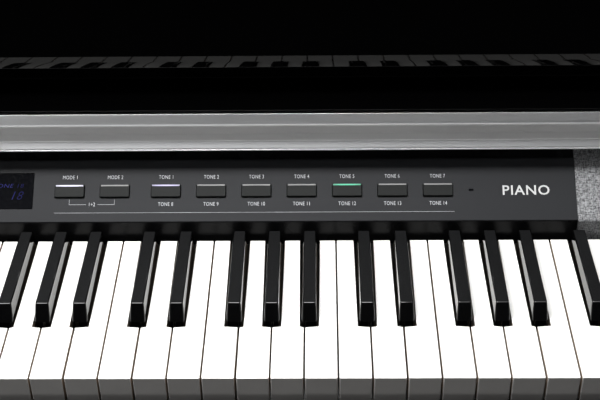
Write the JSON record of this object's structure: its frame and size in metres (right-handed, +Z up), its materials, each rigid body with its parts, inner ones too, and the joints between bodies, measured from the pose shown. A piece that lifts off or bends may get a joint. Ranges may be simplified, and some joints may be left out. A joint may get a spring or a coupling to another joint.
{
  "type": "digital piano on stand",
  "caption": "Full-size digital piano on a panel stand, with a sliding key cover, sloped button panel, cloth speaker grilles, folding music rest and pedals.",
  "frame": {"origin": "on the floor, midway along the width and depth of the whole object", "axes": "+X to the treble end, +Y away from the player, +Z up"},
  "size_m": [1.375, 0.46, 1.1147],
  "materials": {
    "case_black": "black laminated board, fine satin texture",
    "gloss_black": "polished black, mirror gloss",
    "panel_black": "painted dark blue-grey black, semi-gloss with soft streaks",
    "white_key": "moulded white, smooth semi-gloss",
    "black_key": "moulded black with a fine grained top and glossy flanks",
    "brushed_aluminium": "satin anodised extrusion, brushed lengthwise",
    "speaker_cloth": "grey melange woven speaker cloth",
    "button_grey": "fine grained dark grey, light bar along the top edge",
    "display_glass": "smoked window over dim violet digits",
    "zinc_steel": "zinc-plated pressed steel",
    "pedal_brass": "polished brass",
    "rubber": "matt black rubber",
    "circuit_board": "green solder resist",
    "speaker_cone": "black paper cone and frame",
    "hardboard": "dark stained hardboard"
  },
  "bodies": {
    "cabinet": {"key_bed": "case_black", "key_slip": "case_black", "left_side_panel": "case_black", "right_side_panel": "case_black", "left_key_block": "case_black", "right_key_block": "case_black", "top_board": "case_black", "left_leg_panel": "case_black", "right_leg_panel": "case_black", "left_foot": "case_black", "right_foot": "case_black", "back_board": "case_black", "pedal_box": "case_black", "upper_panel": "gloss_black", "control_panel": "panel_black", "display_window": "display_glass", "left_speaker_grille": "speaker_cloth", "right_speaker_grille": "speaker_cloth", "left_speaker": "speaker_cone", "right_speaker": "speaker_cone", "circuit_board": "circuit_board", "rear_panel": "hardboard", "power_inlet": "rubber", "key_frame": "zinc_steel"},
    "key_cover": {"key_cover": "gloss_black", "cover_handle": "brushed_aluminium"},
    "music_rest": {"music_rest": "gloss_black"},
    "left_pedal": {"left_pedal": "pedal_brass"},
    "middle_pedal": {"middle_pedal": "pedal_brass"},
    "right_pedal": {"right_pedal": "pedal_brass"},
    "pedal_box_adjuster": {"pedal_box_adjuster": "rubber"},
    "power_button": {"power_button": "button_grey"},
    "volume_knob": {"volume_knob": "button_grey"},
    "value_down_button": {"value_down_button": "button_grey"},
    "value_up_button": {"value_up_button": "button_grey"},
    "mode_button_1": {"mode_button_1": "button_grey"},
    "mode_button_2": {"mode_button_2": "button_grey"},
    "voice_button_1": {"voice_button_1": "button_grey"},
    "voice_button_2": {"voice_button_2": "button_grey"},
    "voice_button_3": {"voice_button_3": "button_grey"},
    "voice_button_4": {"voice_button_4": "button_grey"},
    "voice_button_5": {"voice_button_5": "button_grey"},
    "voice_button_6": {"voice_button_6": "button_grey"},
    "voice_button_7": {"voice_button_7": "button_grey"},
    "key_c5": {"key_c5": "white_key"},
    "key_c_sharp5": {"key_c_sharp5": "black_key"},
    "key_d5": {"key_d5": "white_key"},
    "key_d_sharp5": {"key_d_sharp5": "black_key"},
    "key_e5": {"key_e5": "white_key"},
    "key_f5": {"key_f5": "white_key"},
    "key_f_sharp5": {"key_f_sharp5": "black_key"},
    "key_g5": {"key_g5": "white_key"},
    "key_g_sharp5": {"key_g_sharp5": "black_key"},
    "key_a5": {"key_a5": "white_key"},
    "key_a_sharp5": {"key_a_sharp5": "black_key"},
    "key_b5": {"key_b5": "white_key"},
    "bass_white_keys": {"bass_white_keys": "white_key"},
    "bass_black_keys": {"bass_black_keys": "black_key"},
    "treble_white_keys": {"treble_white_keys": "white_key"},
    "treble_black_keys": {"treble_black_keys": "black_key"}
  },
  "joints": [
    {"name": "key_cover_slide", "type": "slide", "parent": "cabinet", "child": "key_cover", "axis": [0, -0.9681, -0.2504], "range_m": [0, 0.195]},
    {"name": "music_rest_fold", "type": "hinge", "parent": "cabinet", "child": "music_rest", "pos_m": [0, 0.055, 0.9505], "axis": [1, 0, 0], "range_deg": [-72, 0]},
    {"name": "left_pedal_press", "type": "hinge", "parent": "cabinet", "child": "left_pedal", "pos_m": [-0.085, 0.16, 0.088], "axis": [1, 0, 0], "range_deg": [0, 5], "stiffness_Nm_per_rad": 6, "springref_deg": -9.17},
    {"name": "middle_pedal_press", "type": "hinge", "parent": "cabinet", "child": "middle_pedal", "pos_m": [0, 0.16, 0.088], "axis": [1, 0, 0], "range_deg": [0, 5], "stiffness_Nm_per_rad": 6, "springref_deg": -9.17},
    {"name": "right_pedal_press", "type": "hinge", "parent": "cabinet", "child": "right_pedal", "pos_m": [0.085, 0.16, 0.088], "axis": [1, 0, 0], "range_deg": [0, 5], "stiffness_Nm_per_rad": 6, "springref_deg": -9.17},
    {"name": "adjuster_turn", "type": "hinge", "parent": "cabinet", "child": "pedal_box_adjuster", "pos_m": [0, 0.11, 0.02], "axis": [0, 0, 1], "continuous": true},
    {"name": "volume_turn", "type": "hinge", "parent": "cabinet", "child": "volume_knob", "pos_m": [-0.345, -0.01007, 0.75878], "axis": [0, -0.5807, 0.8141], "range_deg": [-140, 140]},
    {"name": "power_button_press", "type": "slide", "parent": "cabinet", "child": "power_button", "axis": [0, 0.5807, -0.8141], "range_m": [0, 0.0012], "stiffness_N_per_m": 300, "springref_m": -0.002},
    {"name": "value_down_button_press", "type": "slide", "parent": "cabinet", "child": "value_down_button", "axis": [0, 0.5807, -0.8141], "range_m": [0, 0.0012], "stiffness_N_per_m": 300, "springref_m": -0.002},
    {"name": "value_up_button_press", "type": "slide", "parent": "cabinet", "child": "value_up_button", "axis": [0, 0.5807, -0.8141], "range_m": [0, 0.0012], "stiffness_N_per_m": 300, "springref_m": -0.002},
    {"name": "mode_button_1_press", "type": "slide", "parent": "cabinet", "child": "mode_button_1", "axis": [0, 0.5807, -0.8141], "range_m": [0, 0.0012], "stiffness_N_per_m": 300, "springref_m": -0.002},
    {"name": "mode_button_2_press", "type": "slide", "parent": "cabinet", "child": "mode_button_2", "axis": [0, 0.5807, -0.8141], "range_m": [0, 0.0012], "stiffness_N_per_m": 300, "springref_m": -0.002},
    {"name": "voice_button_1_press", "type": "slide", "parent": "cabinet", "child": "voice_button_1", "axis": [0, 0.5807, -0.8141], "range_m": [0, 0.0012], "stiffness_N_per_m": 300, "springref_m": -0.002},
    {"name": "voice_button_2_press", "type": "slide", "parent": "cabinet", "child": "voice_button_2", "axis": [0, 0.5807, -0.8141], "range_m": [0, 0.0012], "stiffness_N_per_m": 300, "springref_m": -0.002},
    {"name": "voice_button_3_press", "type": "slide", "parent": "cabinet", "child": "voice_button_3", "axis": [0, 0.5807, -0.8141], "range_m": [0, 0.0012], "stiffness_N_per_m": 300, "springref_m": -0.002},
    {"name": "voice_button_4_press", "type": "slide", "parent": "cabinet", "child": "voice_button_4", "axis": [0, 0.5807, -0.8141], "range_m": [0, 0.0012], "stiffness_N_per_m": 300, "springref_m": -0.002},
    {"name": "voice_button_5_press", "type": "slide", "parent": "cabinet", "child": "voice_button_5", "axis": [0, 0.5807, -0.8141], "range_m": [0, 0.0012], "stiffness_N_per_m": 300, "springref_m": -0.002},
    {"name": "voice_button_6_press", "type": "slide", "parent": "cabinet", "child": "voice_button_6", "axis": [0, 0.5807, -0.8141], "range_m": [0, 0.0012], "stiffness_N_per_m": 300, "springref_m": -0.002},
    {"name": "voice_button_7_press", "type": "slide", "parent": "cabinet", "child": "voice_button_7", "axis": [0, 0.5807, -0.8141], "range_m": [0, 0.0012], "stiffness_N_per_m": 300, "springref_m": -0.002},
    {"name": "key_c5_press", "type": "hinge", "parent": "cabinet", "child": "key_c5", "pos_m": [0.10575, 0.05, 0.714], "axis": [1, 0, 0], "range_deg": [0, 2.4], "stiffness_Nm_per_rad": 2, "springref_deg": -6.88},
    {"name": "key_c_sharp5_press", "type": "hinge", "parent": "cabinet", "child": "key_c_sharp5", "pos_m": [0.1152, 0.05, 0.714], "axis": [1, 0, 0], "range_deg": [0, 2.4], "stiffness_Nm_per_rad": 2, "springref_deg": -6.88},
    {"name": "key_d5_press", "type": "hinge", "parent": "cabinet", "child": "key_d5", "pos_m": [0.12925, 0.05, 0.714], "axis": [1, 0, 0], "range_deg": [0, 2.4], "stiffness_Nm_per_rad": 2, "springref_deg": -6.88},
    {"name": "key_d_sharp5_press", "type": "hinge", "parent": "cabinet", "child": "key_d_sharp5", "pos_m": [0.1433, 0.05, 0.714], "axis": [1, 0, 0], "range_deg": [0, 2.4], "stiffness_Nm_per_rad": 2, "springref_deg": -6.88},
    {"name": "key_e5_press", "type": "hinge", "parent": "cabinet", "child": "key_e5", "pos_m": [0.15275, 0.05, 0.714], "axis": [1, 0, 0], "range_deg": [0, 2.4], "stiffness_Nm_per_rad": 2, "springref_deg": -6.88},
    {"name": "key_f5_press", "type": "hinge", "parent": "cabinet", "child": "key_f5", "pos_m": [0.17625, 0.05, 0.714], "axis": [1, 0, 0], "range_deg": [0, 2.4], "stiffness_Nm_per_rad": 2, "springref_deg": -6.88},
    {"name": "key_f_sharp5_press", "type": "hinge", "parent": "cabinet", "child": "key_f_sharp5", "pos_m": [0.1846, 0.05, 0.714], "axis": [1, 0, 0], "range_deg": [0, 2.4], "stiffness_Nm_per_rad": 2, "springref_deg": -6.88},
    {"name": "key_g5_press", "type": "hinge", "parent": "cabinet", "child": "key_g5", "pos_m": [0.19975, 0.05, 0.714], "axis": [1, 0, 0], "range_deg": [0, 2.4], "stiffness_Nm_per_rad": 2, "springref_deg": -6.88},
    {"name": "key_g_sharp5_press", "type": "hinge", "parent": "cabinet", "child": "key_g_sharp5", "pos_m": [0.2115, 0.05, 0.714], "axis": [1, 0, 0], "range_deg": [0, 2.4], "stiffness_Nm_per_rad": 2, "springref_deg": -6.88},
    {"name": "key_a5_press", "type": "hinge", "parent": "cabinet", "child": "key_a5", "pos_m": [0.22325, 0.05, 0.714], "axis": [1, 0, 0], "range_deg": [0, 2.4], "stiffness_Nm_per_rad": 2, "springref_deg": -6.88},
    {"name": "key_a_sharp5_press", "type": "hinge", "parent": "cabinet", "child": "key_a_sharp5", "pos_m": [0.2384, 0.05, 0.714], "axis": [1, 0, 0], "range_deg": [0, 2.4], "stiffness_Nm_per_rad": 2, "springref_deg": -6.88},
    {"name": "key_b5_press", "type": "hinge", "parent": "cabinet", "child": "key_b5", "pos_m": [0.24675, 0.05, 0.714], "axis": [1, 0, 0], "range_deg": [0, 2.4], "stiffness_Nm_per_rad": 2, "springref_deg": -6.88},
    {"name": "bass_white_keys_press", "type": "hinge", "parent": "cabinet", "child": "bass_white_keys", "pos_m": [0, 0.05, 0.714], "axis": [1, 0, 0], "range_deg": [0, 2.4], "stiffness_Nm_per_rad": 60, "springref_deg": -6.88},
    {"name": "bass_black_keys_press", "type": "hinge", "parent": "cabinet", "child": "bass_black_keys", "pos_m": [0, 0.05, 0.714], "axis": [1, 0, 0], "range_deg": [0, 2.4], "stiffness_Nm_per_rad": 42, "springref_deg": -6.88},
    {"name": "treble_white_keys_press", "type": "hinge", "parent": "cabinet", "child": "treble_white_keys", "pos_m": [0, 0.05, 0.714], "axis": [1, 0, 0], "range_deg": [0, 2.4], "stiffness_Nm_per_rad": 30, "springref_deg": -6.88},
    {"name": "treble_black_keys_press", "type": "hinge", "parent": "cabinet", "child": "treble_black_keys", "pos_m": [0, 0.05, 0.714], "axis": [1, 0, 0], "range_deg": [0, 2.4], "stiffness_Nm_per_rad": 20, "springref_deg": -6.88}
  ]
}
